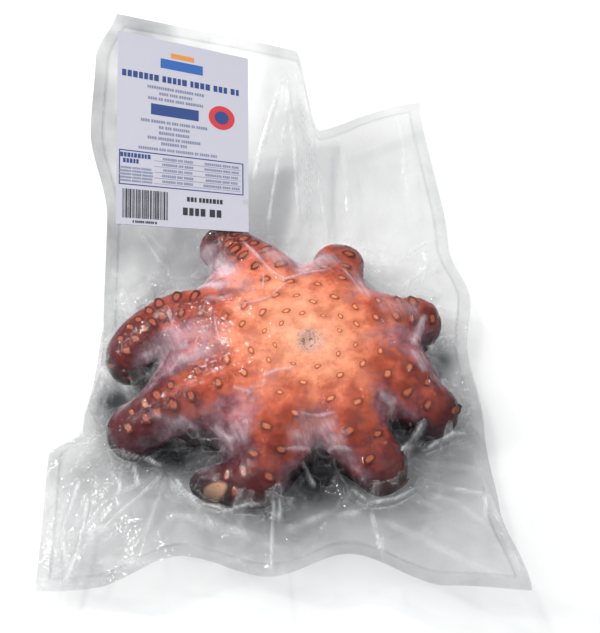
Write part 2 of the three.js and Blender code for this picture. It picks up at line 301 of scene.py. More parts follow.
def arm_frames(arm, steps):
    """Centre, sideways and oral directions and radius at equal steps down an arm."""
    span = arm["reach"] - ARM["end"]
    centres = []
    for out, up, _, swing in ARM_STATIONS:
        out += (arm["tip"] - 1) * swing**HOOK
        heading = math.radians(lerp(arm["start"], arm["end"], smoothstep(out, arm["turn"], TURNED)))
        outward = Vector((math.cos(heading), math.sin(heading), 0))
        rightward = Vector((math.sin(heading), -math.cos(heading), 0))
        centres.append(span * out * outward + swing * arm["curl"] * rightward + Vector((0, 0, up)))
    first = math.radians(arm["start"])
    side = Vector((math.sin(first), -math.cos(first), 0))
    frames = []
    for i in range(steps + 1):
        share = i / steps
        tangent = curve_point(centres, min(1, share + 1e-4)) - curve_point(centres, max(0, share - 1e-4))
        tangent.normalize()
        side = (side - side.dot(tangent) * tangent).normalized()
        place = share * (len(ARM_STATIONS) - 1)
        k = min(len(ARM_STATIONS) - 2, int(place))
        frames.append({
            "centre": curve_point(centres, share),
            "side": side,
            "oral": side.cross(tangent).normalized(),
            "radius": lerp(ARM_STATIONS[k][2], ARM_STATIONS[k + 1][2], place - k),
        })
    return frames


def evaluated_mesh(obj):
    """The object's mesh with its modifiers applied, as a new mesh; the object is removed."""
    graph = bpy.context.evaluated_depsgraph_get()
    mesh = bpy.data.meshes.new_from_object(obj.evaluated_get(graph))
    bpy.data.objects.remove(obj)
    return mesh


def points_of(mesh):
    points = np.empty(len(mesh.vertices) * 3)
    mesh.vertices.foreach_get("co", points)
    return points.reshape(-1, 3)


def normals_of(mesh):
    normals = np.empty(len(mesh.vertices) * 3)
    mesh.vertex_normals.foreach_get("vector", normals)
    return normals.reshape(-1, 3)


def set_points(mesh, points):
    mesh.vertices.foreach_set("co", points.ravel())
    mesh.update()


def set_attributes(mesh, **values):
    for name, numbers in values.items():
        data = mesh.attributes.new(name, "FLOAT", "POINT").data
        data.foreach_set("value", np.asarray(numbers, np.float32))


def finish_piece(name, mesh, material):
    """A piece that rides the root, from a mesh worked out in millimetres."""
    mesh.transform(Matrix.Scale(MM, 4))
    mesh.shade_smooth()
    mesh.materials.clear()
    mesh.materials.append(material)
    piece = placed(name, mesh)
    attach(piece, "root")
    return piece


bm = bmesh.new()
bmesh.ops.create_uvsphere(bm, u_segments=144, v_segments=64, radius=1)
for vert in bm.verts:
    vert.co = crown_point(vert.co)
ARM_RINGS = 44
ROUNDED = {"from": 0.93, "over": 0.07}  # shares of an arm's way over which its end closes
for arm in ARMS:
    frames = arm_frames(arm, ARM_RINGS)
    sweep = bmesh.ops.create_uvsphere(bm, u_segments=28, v_segments=ARM_RINGS + 2, radius=1)["verts"]
    for vert in sweep:
        ring = round(math.acos(max(-1, min(1, vert.co.z))) / math.pi * (ARM_RINGS + 2)) - 1
        station = frames[max(0, min(ARM_RINGS, ring))]
        flat = Vector((vert.co.x, vert.co.y))
        if flat.length > 1e-4:
            flat.normalize()
        ending = max(0, ring / ARM_RINGS - ROUNDED["from"]) / ROUNDED["over"]
        radius = station["radius"] * math.sqrt(max(0, 1 - min(1, ending) ** 2))
        vert.co = (
            station["centre"]
            + flat.x * radius * station["side"]
            + flat.y * radius * ARM["flatness"] * station["oral"]
        )
bmesh.ops.recalc_face_normals(bm, faces=bm.faces)
rough_skin = placed("octopus_skin", mesh_from(bm, "octopus_skin"))
remesh = rough_skin.modifiers.new("fuse", "REMESH")
remesh.mode = "VOXEL"
remesh.voxel_size = SKIN_VOXEL
soften = rough_skin.modifiers.new("soften", "SMOOTH")
soften.iterations = SKIN_SOFTENING
skin_mesh = evaluated_mesh(rough_skin)

# Each point's place on the octopus: its distance from the mouth in plan, and how far to the side of the
# nearest arm's middle it lies, as a share of that arm's radius.
CENTRE_STEPS = 60
centres = [station for arm in ARMS for station in arm_frames(arm, CENTRE_STEPS)]
tree = KDTree(len(centres))
for index, station in enumerate(centres):
    tree.insert(station["centre"], index)
tree.balance()


def place_on_octopus(points):
    """Distance from the mouth, and how far aside of the nearest arm's middle."""
    aside = []
    for point in points:
        point = Vector(point)
        station = centres[tree.find(point)[1]]
        aside.append(abs((point - station["centre"]).dot(station["side"])) / station["radius"])
    return np.hypot(points[:, 0], points[:, 1]), np.array(aside)


points, normals = points_of(skin_mesh), normals_of(skin_mesh)
from_mouth, aside = place_on_octopus(points)
around = np.arctan2(points[:, 1], points[:, 0])
on_top = points[:, 2] > CROWN["height"] - CROWN["top"]
pucker = np.exp(-(((from_mouth - MOUTH["lip"]) / MOUTH["lip_width"]) ** 2))
pucker *= np.cos(MOUTH["puckers"] * around)
dip = -MOUTH["depth"] * (1 - smoothstep(from_mouth, 0, MOUTH["radius"]))
lumps = np.array([sum(high * noise.noise(Vector(p) / apart) for apart, high in LUMPS) for p in points])
points += normals * (lumps + np.where(on_top, dip + MOUTH["pucker"] * pucker, 0))[:, None]
points[:, 2] = np.maximum(points[:, 2], BASE_HEIGHT)
set_points(skin_mesh, points)
skin_points = points
bare_x = (points[:, 0] - BARE_PATCH["x"]) / BARE_PATCH["across"]
bare_y = (points[:, 1] - BARE_PATCH["y"]) / BARE_PATCH["along"]
set_attributes(
    skin_mesh, aside=aside, height=points[:, 2] / CROWN["height"], from_mouth=from_mouth,
    bare=smoothstep(np.exp(-(bare_x**2) - bare_y**2), 0.3, 0.6),
    outward=from_mouth / round_the_mouth(reach_knots, around),
)
skin_tree = BVHTree.FromPolygons(
    [Vector(p) for p in points], [tuple(face.vertices) for face in skin_mesh.polygons]
)

# Cooked octopus skin: peach round the mouth, orange to brick red along the suckers, pink to plum
# between the arms, and maroon low on their flanks, deepened to near black by painted shade at the floor;
# mottled by pigment cells about a millimetre wide, with a painted shade ring round each sucker.
skin = new_material("cooked_octopus_skin")
at = add_node(skin, "TexCoord").outputs["Object"]
aside_at, height_at, mouth_at, outward_at, sucker_shade_at, bare_at = [
    add_node(skin, "Attribute", {"attribute_name": name}).outputs["Fac"]
    for name in ("aside", "height", "from_mouth", "outward", "halo", "bare")
]
blotches = add_node(skin, "TexNoise", {"Scale": 70, "Detail": 5, "Roughness": 0.6, "Vector": at})
cells = add_node(skin, "TexNoise", {"Scale": 420, "Detail": 3, "Roughness": 0.7, "Vector": at})
blotch_shift = add_node(skin, "MapRange", {"From": (0.3, 0.7), "To": (-0.11, 0.11), "Value": blotches})
reach_share = add_node(skin, "Math", {"operation": "ADD", 0: outward_at, 1: blotch_shift})
oral_tone = add_node(skin, "ValToRGB", {
    "stops": [(0.0, "#FFB692"), (0.22, "#F89E78"), (0.42, "#D46A4A"), (0.57, "#B65034"), (0.7, "#A0422A"),
              (0.82, "#7A3026"), (0.94, "#4C1E24")], "Fac": reach_share,
})
web_tone = add_node(skin, "ValToRGB", {
    "stops": [(0.0, "#FFB692"), (0.26, "#F8A07C"), (0.42, "#DC8874"), (0.56, "#AE6268"),
              (0.72, "#6E3A4C"), (0.9, "#3C1C2E")], "Fac": reach_share,
})
aside_shifted = add_node(skin, "Math", {"operation": "MULTIPLY_ADD", 0: blotch_shift, 1: 3.0, 2: aside_at})
web_share = add_node(skin, "MapRange", {
    "From": (0.42, 0.92), "interpolation_type": "SMOOTHSTEP", "Value": aside_shifted,
})
upper_tone = add_node(skin, "Mix", {"data_type": "RGBA", 0: web_share, 6: oral_tone, 7: web_tone})
# Ruddy pigment blotches and painted shade in a ring round each sucker darken the flesh, more so far from
# the mouth; low on the flanks it darkens to maroon, then to painted shade by the floor.
ruddy = add_node(skin, "MapRange", {"From": (0.44, 0.62), "To": (0, 0.72), "Value": blotches})
far_share = add_node(skin, "MapRange", {"From": (45, 100), "To": (0.4, 1), "Value": mouth_at})
blotch_and_shade_share = add_node(skin, "Math", {"operation": "MAXIMUM", 0: ruddy, 1: sucker_shade_at})
blotch_and_shade_far = add_node(skin, "Math", {"operation": "MULTIPLY", 0: blotch_and_shade_share, 1: far_share})
blotch_and_shade_tone = add_node(skin, "Mix", {"data_type": "RGBA", 0: blotch_and_shade_far, 6: upper_tone, 7: tone("#601C1A")})
# Low on the flanks the flesh turns maroon, then near black towards the floor: partly the underside's own
# darker colour, partly painted shade.
low_maroon_and_shade_share = add_node(skin, "MapRange", {
    "From": (0.66, 0.16), "To": (0, 0.95), "interpolation_type": "SMOOTHSTEP", "Value": height_at,
})
flesh_tone = add_node(skin, "Mix", {"data_type": "RGBA", 0: low_maroon_and_shade_share, 6: blotch_and_shade_tone, 7: tone("#200A10")})
cell_depth = add_node(skin, "MapRange", {"From": (0.52, 0.72), "To": (0, 0.6), "Value": cells})
cell_share = add_node(skin, "Math", {"operation": "MULTIPLY", 0: cell_depth, 1: far_share})
speckled = add_node(skin, "Mix", {"data_type": "RGBA", 0: cell_share, 6: flesh_tone, 7: tone("#6A3036")})
lips = add_node(skin, "ValToRGB", {
    "stops": [(0.36, "#4A3C3C"), (0.46, "#B08E84"), (0.55, "#DDB8A4"), (0.66, "#8C7B7E")], "Fac": cells,
})
lip_share = add_node(skin, "MapRange", {"From": (13, 6), "To": (0, 0.8), "Value": mouth_at})
skin_tone = add_node(skin, "Mix", {"data_type": "RGBA", 0: lip_share, 6: speckled, 7: lips})
skin_tone = add_node(skin, "Mix", {"data_type": "RGBA", 0: bare_at, 6: skin_tone, 7: tone("#E4B08A")})
pores = add_node(skin, "Bump", {"Strength": 0.35, "Distance": 0.0005, "Height": cells})
FLESH = {"Specular IOR Level": 0.15, "Subsurface Weight": 0.15, "Subsurface Radius": (1.0, 0.35, 0.2)}
wet_flesh = add_node(skin, "BsdfPrincipled", {
    **FLESH, "Roughness": 0.55, "IOR": 1.33, "Subsurface Scale": 0.004, "Base Color": skin_tone,
    "Normal": pores,
})
add_node(skin, "OutputMaterial", {"Surface": wet_flesh})
food = bmesh.new()
food.from_mesh(skin_mesh)
octopus = finish_piece("octopus_body", skin_mesh, skin)
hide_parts("vacuum_pack")

# ---------- octopus: suckers ----------
# Two staggered rows of oval cups down the oral side of each arm, small at the mouth and at the end.
# A cup is inset from an oval: a skirt sunk in the skin, a raised rim and a shallow bowl.
SUCKER = {"across": 9.8, "along": 6, "rise": 0.9, "sunk": 1.0, "bowl": 0.6, "sides": 18, "uneven": 0.35}
SUCKER["radius"] = 0.54  # of its skirt, where the cup is one unit across
CUP_RINGS = [  # from the skirt inwards: how far each ring lies inside the last, and its rise from it
    (0.03, SUCKER["sunk"] + 0.55 * SUCKER["rise"]),
    (0.035, 0.4 * SUCKER["rise"]),
    (0.05, 0.05 * SUCKER["rise"]),
    (0.09, -0.25 * SUCKER["bowl"]),
    (0.13, -0.65 * SUCKER["bowl"]),
]
# Step from sucker to sucker, size and distance from the arm's middle, each at distances from the mouth.
SUCKER_STEP = [(24, 9.5), (50, 9.5), (78, 9.5), (105, 6), (130, 4.6)]
SUCKER_SCALE = [(24, 0.46), (45, 0.66), (72, 1.02), (105, 1.12), (135, 0.9)]
SUCKER_ROW = [(14, 4), (50, 7.5), (90, 7.5), (125, 5)]
UNEVEN_SCALE = (0.85, 1.1)
UNEVEN_STEP = (0.85, 1.15)
LAST_SUCKER = 0.9  # share of the arm's length
CLEAR_STEP = 2  # how far on the next place is tried where the skin is bare
# Painted shade round each sucker: how dark the ring is at the sucker's middle, and between which distances
# it fades.
SUCKER_SHADE = {"depth": 0.5, "fades": (4, 7)}  # mm from a sucker's middle
RAY_START = 90  # how far out of the arm's middle a seat on the skin is looked for
WALK_STEPS = 120


def seeded_draw(seed):
    """A draw between 0 and 1 by Lehmer's rule, the same in every run."""
    state = seed
    while True:
        state = state * 16807 % 2147483647
        yield state / 2147483647


def sucker_mesh():
    """A cup one unit across, rim up, with the share of the way out to its edge as an attribute."""
    bm = bmesh.new()
    bmesh.ops.create_circle(bm, cap_ends=True, segments=SUCKER["sides"], radius=SUCKER["radius"])
    bmesh.ops.translate(bm, verts=bm.verts, vec=(0, 0, -SUCKER["sunk"]))
    disc = list(bm.faces)
    for inside, rise in CUP_RINGS:
        bmesh.ops.inset_region(bm, faces=disc, thickness=inside, depth=rise, use_even_offset=False)
    bmesh.ops.poke(bm, faces=disc)
    mesh = mesh_from(bm, "sucker")
    points = points_of(mesh)
    set_attributes(mesh, cup=np.hypot(points[:, 0], points[:, 1]) / SUCKER["radius"])
    return mesh


cup = sucker_mesh()
seats = []
bm = bmesh.new()
for index, arm in enumerate(ARMS):
    draw = seeded_draw(7 + index)
    frames = arm_frames(arm, WALK_STEPS)
    walked = math.hypot(frames[0]["centre"].x, frames[0]["centre"].y)
    due = SUCKER_STEP[0][0] + 3 * next(draw)
    count = 0
    for i in range(1, int(LAST_SUCKER * WALK_STEPS)):
        centre, side, oral_way = (frames[i][key] for key in ("centre", "side", "oral"))
        walked += (centre - frames[i - 1]["centre"]).length
        if walked < due:
            continue
        row = 1 if count % 2 == 0 else -1
        offset = row * float(eased(SUCKER_ROW, due)) + next(draw) - 0.5
        start = centre + offset * side + RAY_START * oral_way
        hit, facing, _, _ = skin_tree.ray_cast(start, -oral_way)
        if hit is None:
            continue
        if math.hypot(hit.x - BARE_PATCH["x"], hit.y - BARE_PATCH["y"]) < BARE_PATCH["clear"]:
            due += CLEAR_STEP
            continue
        up = facing.lerp(oral_way, 0.5).normalized()
        across = (side - side.dot(up) * up).normalized()
        along = up.cross(across)
        scale = float(eased(SUCKER_SCALE, due)) * lerp(*UNEVEN_SCALE, next(draw))
        size = Matrix.Diagonal((SUCKER["across"] * scale, SUCKER["along"] * scale, lerp(scale, 1, 0.5), 1))
        turn = Matrix((across, along, up)).transposed().to_4x4()
        first_vert = len(bm.verts)
        bm.from_mesh(cup)
        bm.verts.ensure_lookup_table()
        for vert in bm.verts[first_vert:]:
            around = Vector((vert.co.x, vert.co.y, 0))
            if around.length > 0:
                spread = noise.noise(1.6 * around.normalized() + Vector((0, 0, 3.7 * (40 * index + count))))
                vert.co.xy *= 1 + SUCKER["uneven"] * spread
        bmesh.ops.transform(bm, verts=bm.verts[first_vert:], matrix=Matrix.Translation(hit) @ turn @ size)
        seats.append(hit)
        count += 1
        due += arm["spacing"] * float(eased(SUCKER_STEP, due)) * lerp(*UNEVEN_STEP, next(draw))
seat_tree = KDTree(len(seats))
for number, seat in enumerate(seats):
    seat_tree.insert(seat, number)
seat_tree.balance()
# Painted shade: the skin darkens in a ring round its nearest sucker.
from_seat = np.array([seat_tree.find(Vector(p))[2] for p in skin_points])
set_attributes(octopus.data, halo=SUCKER_SHADE["depth"] * (1 - smoothstep(from_seat, *SUCKER_SHADE["fades"])))
suckers_mesh = mesh_from(bm, "octopus_suckers")
points = points_of(suckers_mesh)
points[:, 2] = np.maximum(points[:, 2], BASE_HEIGHT)
set_points(suckers_mesh, points)
set_attributes(suckers_mesh, from_mouth=np.hypot(*points[:, :2].T))

# Sucker flesh: the same skin, brighter orange in the cup, with a dark red-brown outline.
cup_flesh = new_material("cooked_sucker_flesh")
at = add_node(cup_flesh, "TexCoord").outputs["Object"]
cup_at, mouth_at = [
    add_node(cup_flesh, "Attribute", {"attribute_name": name}).outputs["Fac"]
    for name in ("cup", "from_mouth")
]
grain = add_node(cup_flesh, "TexNoise", {"Scale": 500, "Detail": 3, "Roughness": 0.7, "Vector": at})
grain_shift = add_node(cup_flesh, "MapRange", {"From": (0.3, 0.7), "To": (-0.07, 0.07), "Value": grain})
cup_shifted = add_node(cup_flesh, "Math", {"operation": "ADD", 0: cup_at, 1: grain_shift})
pale_cup = add_node(cup_flesh, "ValToRGB", {
    "stops": [(0.0, "#F0986A"), (0.42, "#F6A274"), (0.6, "#DE7C50"), (0.74, "#BC5C38"), (0.95, "#A84E2E")],
    "Fac": cup_shifted,
})
deep_cup = add_node(cup_flesh, "ValToRGB", {
    "stops": [(0.0, "#9C4C30"), (0.42, "#AC5A3A"), (0.56, "#8A3A24"), (0.68, "#5E1A10"), (0.95, "#48120C")],
    "Fac": cup_shifted,
})
deep_share = add_node(cup_flesh, "MapRange", {"From": (35, 85), "Value": mouth_at})
cup_tone = add_node(cup_flesh, "Mix", {"data_type": "RGBA", 0: deep_share, 6: pale_cup, 7: deep_cup})
wet_cup = add_node(cup_flesh, "BsdfPrincipled", {
    **FLESH, "Roughness": 0.5, "Subsurface Scale": 0.002, "Base Color": cup_tone,
})
add_node(cup_flesh, "OutputMaterial", {"Surface": wet_cup})
food.from_mesh(suckers_mesh)
suckers = finish_piece("octopus_suckers", suckers_mesh, cup_flesh)
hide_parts("vacuum_pack")

# ---------- pouch: the film drawn tight over the octopus ----------
# Clear polyamide and polyethylene film, 0.1 mm, pulled onto the food by vacuum: it lies on the skin
# and suckers, spans the creases between arms and stands up in thin pinched folds.
# A remeshed copy of the food is slackened and pushed back outside it by turns.
WRAP = {"voxel": 1.2, "rounds": 9, "slack": 15, "factor": 0.6, "clearance": 0.4, "floor": 0.3}
FOLD_FADE = 0.2  # share of a fold's length over which each of its ends fades
CRINKLE = {"apart": 9, "height": 0.8}  # in the film where it stands off the food
# Painted sheen and shade in the haze: steep film that faces the back lamps, this way, is made milkier, and
# the haze is cut to the at_foot share low down, where shade falls.
BACK_LIGHT = (-0.65, 0.65, 0.4)  # the way that the steep film which glows milky faces
WRAP_HAZE = {"all": 0.035, "flank": 0.34, "lifted": 0.6, "back_sheen": 0.25, "at_foot": 0.25}
WRAP_CRUMPLE = {"all": 0.12, "lifted": 0.4, "at_foot": 0.2}
WRAP_FOLD_WHITE_AND_GLINT = 0.8

# Folds in the film over the octopus, from fine creases to broad milky tents between arms: the fold's rise
# and width, how white it is (partly stress-whitening, partly painted glint) and how far that spreads to
# each side, then the plan points it runs through.
WRAP_FOLDS = [
    (0, 1, 0.6, 9, (-14, 66), (6, 74), (22, 90)),
    (0, 1, 0.5, 8, (48, 46), (60, 60), (78, 58)),
    (0, 1, 0.4, 8, (46, 34), (66, 37), (84, 38)),
    (2, 1.4, 0.9, 1.1, (-54, 107), (-40, 83), (-28, 64), (-17, 55), (-4, 63), (11, 65), (23, 73)),
    (1.2, 1.4, 0.7, 1.2, (23, 73), (33, 57), (42, 40)),
    (2, 3, 0.75, 7, (-35, 90), (-22, 78), (-9, 78), (8, 80), (19, 90)),
    (1.5, 3, 1.4, 8, (-77, 105), (-79, 85), (-82, 64)),
    (0, 1, 0.9, 7, (-73, 94), (-63, 76), (-60, 62)),
    (1.6, 2.5, 1.1, 4, (-88, 67), (-73, 60), (-60, 51)),
    (0.6, 2, 0.5, 2.5, (-77, 43), (-64, 40), (-53, 42)),
    (1, 1.2, 0.6, 0.9, (-53, 32), (-37, 34), (-27, 39), (-14, 55)),
    (0.8, 1, 0.75, 0.8, (-104, 37), (-98, 22), (-89, 10)),
    (0.7, 1, 0.6, 0.8, (-68, 26), (-66, 12), (-62, 1)),
    (0.5, 1, 0.7, 0.8, (-33, 64), (-33, 44)),
    (0.6, 3, 0.5, 5, (-103, 24), (-96, 12), (-86, -4)),
    (0.8, 2, 0.6, 2.5, (-120, -1), (-113, 3), (-106, 10)),
    (0.6, 3, 0.4, 5, (-104, -4), (-85, -9), (-66, -7)),
    (0.8, 1.5, 0.8, 1.2, (-34, -30), (-22, -25), (-9, -23)),
    (0.8, 1.5, 0.6, 1.5, (-53, -36), (-38, -42)),
    (0.8, 2, 0.6, 3, (36, 64), (41, 52), (44, 38)),
    (2.4, 2.2, 0.95, 2.2, (73, 2), (79, 23), (86, 36)),
    (1.2, 2, 0.6, 3, (73, 1), (77, -8), (83, -19)),
    (1, 2, 0.7, 3, (48, -38), (55, -40), (61, -43)),
    (1.4, 1.2, 0.85, 1, (-9, -57), (5, -56), (20, -56)),
    (2, 1.5, 0.95, 1.2, (-20, -82), (1, -74), (18, -75), (32, -80)),
    (0.6, 3, 0.5, 6, (-12, -60), (6, -63), (22, -62)),
    (0.8, 3, 0.6, 5, (-18, -72), (5, -71), (29, -73)),
    (1, 1.4, 0.6, 1.2, (-91, -53), (-82, -57), (-71, -60)),
    (1.2, 1.4, 0.7, 1.4, (-67, -55), (-59, -64), (-50, -72)),
    (0.6, 2, 0.35, 2.5, (-112, -51), (-96, -57), (-81, -57)),
    (0.6, 2, 0.5, 4, (-85, -70), (-70, -85)),
    (0.8, 2, 0.45, 3, (-152, 20), (-150, 35), (-142, 46), (-129, 54), (-111, 60), (-90, 64)),
    (0.5, 2, 0.35, 3, (-145, -54), (-142, -37), (-126, -24)),
    (0.5, 2, 0.7, 4, (62, 66), (80, 68), (95, 63), (104, 45)),
    (0.5, 2, 0.9, 5, (16, 98), (28, 115), (38, 109), (43, 95)),
    (0.5, 2, 0.4, 3, (86, -5), (97, -8), (103, -21), (106, -37)),
]


def distance_along(points, through):
    """Distance in plan of each point from a polyline, and the share of the way along it."""
    route = np.array(through, float)
    lengths = np.hypot(*np.diff(route, axis=0).T)
    before = np.concatenate([[0], np.cumsum(lengths)])
    nearest = np.full(len(points), np.inf)
    share = np.zeros(len(points))
    for i, length in enumerate(lengths):
        step = (route[i + 1] - route[i]) / length
        along = np.clip((points[:, :2] - route[i]) @ step, 0, length)
        away = np.hypot(*(points[:, :2] - route[i] - along[:, None] * step).T)
        closer = away < nearest
        nearest = np.where(closer, away, nearest)
        share = np.where(closer, (before[i] + along) / before[-1], share)
    return nearest, share


def folds(points, lines):
    """Rise and whiteness, partly stress-whitening and partly painted glint, that a list of pinched folds
    gives to each point.
    """
    rise = np.zeros(len(points))
    white = np.zeros(len(points))
    for height, width, whiteness_and_glint, spread, *through in lines:
        away, share = distance_along(points, through)
        fade = smoothstep(share, 0, FOLD_FADE) * smoothstep(1 - share, 0, FOLD_FADE)
        rise += height * fade * np.exp(-away / width)
        white = np.maximum(white, whiteness_and_glint * fade * np.exp(-((away / spread) ** 2)))
    return rise, white


food_mesh = bpy.data.meshes.new("food")
food.to_mesh(food_mesh)
food_tree = BVHTree.FromBMesh(food)
food.free()
food_form = placed("food", food_mesh)
wrap_form = placed("wrap", food_mesh.copy())
remesh = wrap_form.modifiers.new("one_film", "REMESH")
remesh.mode = "VOXEL"
remesh.voxel_size = WRAP["voxel"]
for turn in range(WRAP["rounds"]):
    slacken = wrap_form.modifiers.new("slacken", "SMOOTH")
    slacken.iterations = WRAP["slack"]
    slacken.factor = WRAP["factor"]
    hold_out = wrap_form.modifiers.new("hold_out", "SHRINKWRAP")
    hold_out.target = food_form
    hold_out.wrap_mode = "OUTSIDE"
    hold_out.offset = WRAP["clearance"]
wrap_mesh = evaluated_mesh(wrap_form)
bpy.data.objects.remove(food_form)

points, normals = points_of(wrap_mesh), normals_of(wrap_mesh)
lifted = np.array([food_tree.find_nearest(Vector(p))[3] for p in points])
rise, white = folds(points, WRAP_FOLDS)
upward_share = smoothstep(normals[:, 2], 0.0, 0.4)
crinkle = np.array([abs(noise.noise(Vector(p) / CRINKLE["apart"])) for p in points])
rise = rise * upward_share + CRINKLE["height"] * crinkle * smoothstep(lifted, 0.6, 2.0)
points += normals * rise[:, None]
points[:, 2] = np.maximum(points[:, 2], WRAP["floor"])
set_points(wrap_mesh, points)
from_mouth, aside = place_on_octopus(points)
steep = 1 - np.abs(normals[:, 2])
back_sheen = np.clip(normals @ np.array(BACK_LIGHT), 0, 1)
# The mauve-white haze on the arms' flanks is stronger on their upward faces and weaker at the foot,
# painting light above and shade below; steep film facing the back lamps gets more, as a painted sheen.
flank = smoothstep(aside, 0.45, 0.95) * smoothstep(from_mouth, 40, 80)
flank = flank * (0.35 + 0.65 * smoothstep(normals[:, 2], 0, 0.7))
# Low film facing the near side lies in shade under the arms: it is greyed there as painted shade, and
# crumples more.
near_foot = (1 - smoothstep(points[:, 2], 5, 24)) * smoothstep(-normals[:, 1], 0.1, 0.7)
high = lerp(WRAP_HAZE["at_foot"], 1, smoothstep(points[:, 2], 8, 26))
haze = WRAP_HAZE["flank"] * flank + WRAP_HAZE["lifted"] * smoothstep(lifted, 0.8, 6)
haze = WRAP_HAZE["all"] + haze * high + WRAP_HAZE["back_sheen"] * back_sheen * steep
crumple = WRAP_CRUMPLE["all"] + WRAP_CRUMPLE["lifted"] * smoothstep(lifted, 0.8, 5) * high
set_attributes(
    wrap_mesh, fold=WRAP_FOLD_WHITE_AND_GLINT * white * smoothstep(normals[:, 2], -0.3, 0.2), haze=haze,
    smoke=near_foot, over_food=np.ones(len(points)), crumple=crumple + WRAP_CRUMPLE["at_foot"] * near_foot,
)

# Clear pouch film, extruded and glossy: it shows as small glints and a faint grey, with stress-whitening
# on pinched folds and a mauve-white haze where it stands off the food. Painted glints whiten some folds,
# creases and facets, and painted shade and reflection grey it. Crinkles are 1 to 8 mm apart, and
# crumpled film breaks into flat facets 5 and 13 mm wide.
MIRRORED = (0.015, 0.22)  # share of light that both faces of the film turn back, face on and edge on
STREAKS = {"heading": -66, "stretch": (6, 1, 1.6)}
FACETS = {"large": 75, "small": 210}  # per metre
film = new_material("clear_vacuum_pouch_film")
at = add_node(film, "TexCoord").outputs["Object"]
fold_at, haze_at, grey_and_shade_at, crumple_at, over_food_at = [
    add_node(film, "Attribute", {"attribute_name": name}).outputs["Fac"]
    for name in ("fold", "haze", "smoke", "crumple", "over_food")
]
crinkles = add_node(film, "TexNoise", {
    "noise_type": "RIDGED_MULTIFRACTAL", "Scale": 110, "Detail": 1, "Roughness": 0.55, "Vector": at,
})
broad_relief = add_node(film, "Bump", {"Strength": 0.3, "Distance": 0.0006, "Height": crinkles})
wander = add_node(film, "TexNoise", {"Scale": 45, "Detail": 0, "Vector": at})
wandering = add_node(film, "VectorMath", {
    "operation": "MULTIPLY_ADD", 0: wander.outputs["Color"], 1: (0.014, 0.014, 0.014), 2: at,
})
facet_edges, facet_draw, small_facets = [
    add_node(film, "TexVoronoi", {
        "voronoi_dimensions": "2D", "feature": feature, "Scale": FACETS[size], "Vector": wandering,
    })
    for feature, size in (("DISTANCE_TO_EDGE", "large"), ("F1", "large"), ("DISTANCE_TO_EDGE", "small"))
]
crumpled = add_node(film, "Bump", {
    "Distance": 0.0045, "Strength": crumple_at, "Height": facet_edges, "Normal": broad_relief,
})
crushed = add_node(film, "Bump", {
    "Distance": 0.0014, "Strength": crumple_at, "Height": small_facets, "Normal": crumpled,
})
puckers = add_node(film, "TexNoise", {"Scale": 380, "Detail": 1, "Vector": at})
relief = add_node(film, "Bump", {
    "Strength": 0.55, "Distance": 0.0007, "Height": puckers, "Normal": crushed,
})
drawn_out = add_node(film, "Mapping", {
    "vector_type": "TEXTURE", "Rotation": (0, 0, math.radians(STREAKS["heading"])),
    "Scale": STREAKS["stretch"], "Vector": at,
})
streaks = add_node(film, "TexNoise", {"Scale": 400, "Detail": 1, "Vector": drawn_out})
clouds = add_node(film, "TexNoise", {"Scale": 35, "Detail": 1, "Vector": at})
cloud_share = add_node(film, "MapRange", {"From": (0.3, 0.7), "To": (0.7, 1.3), "Value": clouds})
# Painted shade and reflection: the film's grey is clouded and varied facet by facet, then tints what shows
# through it.
facet_grey = add_node(film, "MapRange", {"To": (0.3, 1.7), "Value": facet_draw.outputs["Color"]})
facet_share = add_node(film, "Mix", {0: crumple_at, 2: 1, 3: facet_grey})
cloudy_grey_and_shade = add_node(film, "Math", {"operation": "MULTIPLY", 0: grey_and_shade_at, 1: cloud_share})
grey_and_shade_share = add_node(film, "Math", {
    "operation": "MULTIPLY", "use_clamp": True, 0: cloudy_grey_and_shade, 1: facet_share,
})
film_tint = add_node(film, "Mix", {
    "data_type": "RGBA", 0: grey_and_shade_share, 6: tone("#FBFBFB"), 7: tone("#8A8C8E"),
})
see_through = add_node(film, "BsdfTransparent", {"Color": film_tint})
gloss = add_node(film, "BsdfGlossy", {"Color": tone("#FFFFFF"), "Roughness": 0.08, "Normal": relief})
turned_away = add_node(film, "LayerWeight", {"Blend": 0.5, "Normal": crumpled}).outputs["Facing"]
glancing = add_node(film, "Math", {"operation": "POWER", 0: turned_away, 1: 4.5})
mirrored = add_node(film, "MapRange", {"To": MIRRORED, "Value": glancing})
clear = add_node(film, "MixShader", {0: mirrored, 1: see_through, 2: gloss})
haze_tone = add_node(film, "Mix", {
    "data_type": "RGBA", 0: over_food_at, 6: tone("#F4F5F6"), 7: tone("#F4E0E8"),
})
lit_haze = add_node(film, "BsdfPrincipled", {
    "Roughness": 0.6, "Specular IOR Level": 0.1, "Base Color": haze_tone, "Normal": relief,
})
glowing_haze = add_node(film, "BsdfTranslucent", {"Color": haze_tone})
milk = add_node(film, "MixShader", {0: 0.45, 1: lit_haze, 2: glowing_haze})
patches = add_node(film, "TexNoise", {"Scale": 50, "Detail": 3, "Roughness": 0.6, "Vector": at})
patchy = add_node(film, "MapRange", {"From": (0.42, 0.64), "To": (0.1, 1), "Value": patches})
streaky = add_node(film, "MapRange", {"From": (0.42, 0.7), "To": (0.8, 1.25), "Value": streaks})
pattern = add_node(film, "Math", {"operation": "MULTIPLY", 0: patchy, 1: streaky})
scratches = add_node(film, "TexNoise", {"Scale": 850, "Detail": 0, "Vector": drawn_out})
scratched = add_node(film, "MapRange", {"From": (0.76, 0.86), "To": (0, 0.9), "Value": scratches})
marked = add_node(film, "Math", {"operation": "ADD", 0: pattern, 1: scratched})
haze = add_node(film, "Math", {"operation": "MULTIPLY", 0: haze_at, 1: marked})
